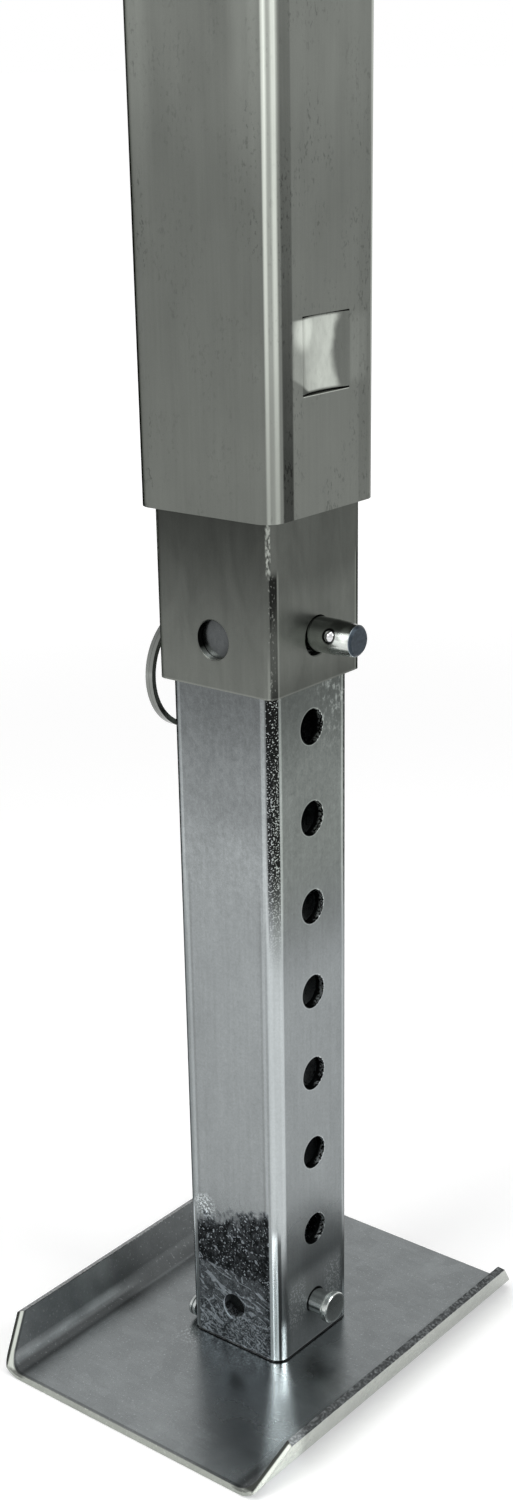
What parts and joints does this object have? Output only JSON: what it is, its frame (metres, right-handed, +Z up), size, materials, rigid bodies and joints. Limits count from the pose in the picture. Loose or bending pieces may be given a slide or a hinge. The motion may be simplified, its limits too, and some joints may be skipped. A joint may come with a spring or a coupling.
{
  "type": "trailer landing gear",
  "caption": "Drop-leg trailer landing gear: square telescoping tubes, a side crank that drives bevel gears and a lead screw, a ringed pull pin and a rocking foot plate.",
  "frame": {"origin": "on the axis of the tubes, at the underside of the foot plate", "axes": "+Z up along the tubes; X is the axis of the pins, +X the face that the pin tips come out of, the crank is on -X; -Y is the face with the grease fitting"},
  "size_m": [0.2538, 0.1905, 0.8786],
  "materials": {
    "outer_steel": "satin",
    "ram_steel": "satin",
    "leg_zinc": "satin zinc",
    "foot_zinc": "satin zinc",
    "pin_zinc": "bright zinc",
    "cap_zinc": "satin zinc",
    "crank_zinc": "satin zinc",
    "screw_zinc": "zinc",
    "machined_steel": "turned",
    "gear_steel": "greased",
    "bearing_steel": "polished",
    "spring_steel": "oiled",
    "cast_nut": "as cast",
    "bronze": "turned",
    "cage_brass": "pressed",
    "grip_plastic": "moulded"
  },
  "bodies": {
    "frame": {"outer_tube": "outer_steel", "top_cap": "cap_zinc", "cap_screws": "screw_zinc", "grease_fitting": "screw_zinc", "bearing_plate": "machined_steel", "plate_screws": "screw_zinc", "upper_race": "bearing_steel", "crank_side_bush": "bronze", "far_side_bush": "bronze"},
    "crank": {"crank_shaft": "machined_steel", "bevel_pinion": "gear_steel", "pinion_pin": "machined_steel", "pinion_washer": "screw_zinc", "far_washer": "screw_zinc", "shaft_clip": "spring_steel", "crank_arm": "crank_zinc", "arm_bolt": "screw_zinc", "arm_nut": "screw_zinc", "grip_retainer": "spring_steel"},
    "grip": {"grip": "grip_plastic"},
    "screw": {"lead_screw": "machined_steel", "lower_race": "bearing_steel", "bevel_gear": "gear_steel", "gear_pin": "machined_steel", "wheel_washer": "screw_zinc", "stop_ring": "machined_steel"},
    "cage": {"bearing_cage": "cage_brass", "bearing_rollers": "bearing_steel"},
    "ram": {"ram_tube": "ram_steel", "lift_nut": "cast_nut", "nut_pins": "machined_steel"},
    "pull_pin": {"pull_pin": "pin_zinc"},
    "ring": {"split_ring": "pin_zinc"},
    "ball": {"detent_ball": "bearing_steel", "detent_spring": "spring_steel"},
    "leg": {"drop_leg": "leg_zinc", "foot_pin": "pin_zinc", "leg_stud": "pin_zinc"},
    "foot": {"foot_plate": "foot_zinc", "foot_bracket": "foot_zinc"}
  },
  "joints": [
    {"name": "crank_turn", "type": "hinge", "parent": "frame", "child": "crank", "pos_m": [0, 0, 0.8325], "axis": [1, 0, 0], "range_deg": [0, 29390]},
    {"name": "screw_turn", "type": "hinge", "parent": "frame", "child": "screw", "pos_m": [0, 0, 0.79], "axis": [0, 0, 1], "range_deg": [-22860, 0]},
    {"name": "cage_turn", "type": "hinge", "parent": "frame", "child": "cage", "pos_m": [0, 0, 0.78745], "axis": [0, 0, 1], "range_deg": [-11430, 0]},
    {"name": "ram_slide", "type": "slide", "parent": "frame", "child": "ram", "axis": [0, 0, -1], "range_m": [0, 0.3175]},
    {"name": "drop_leg_slide", "type": "slide", "parent": "ram", "child": "leg", "axis": [0, 0, 1], "range_m": [0, 0.2286]},
    {"name": "pull_pin_pull", "type": "slide", "parent": "ram", "child": "pull_pin", "axis": [-1, 0, 0], "range_m": [0, 0.1146]},
    {"name": "ring_swing", "type": "hinge", "parent": "pull_pin", "child": "ring", "pos_m": [-0.0374, 0, 0.3272], "axis": [0, 1, 0], "range_deg": [-5, 180]},
    {"name": "detent_ball_press", "type": "slide", "parent": "pull_pin", "child": "ball", "axis": [0, 0.9613, -0.2756], "range_m": [0, 0.0009], "stiffness_N_per_m": 2000, "springref_m": -0.001},
    {"name": "foot_rock", "type": "hinge", "parent": "leg", "child": "foot", "pos_m": [0, 0, 0.0241], "axis": [1, 0, 0], "range_deg": [-2, 2]},
    {"name": "grip_spin", "type": "hinge", "parent": "crank", "child": "grip", "pos_m": [-0.12, 0, 0.6525], "axis": [1, 0, 0], "continuous": true}
  ],
  "couplings": [
    {"joint": "screw_turn", "follows": "crank_turn", "ratio": -0.77778},
    {"joint": "cage_turn", "follows": "crank_turn", "ratio": -0.38889},
    {"joint": "ram_slide", "follows": "crank_turn", "m_per_rad": 0.00061894}
  ]
}
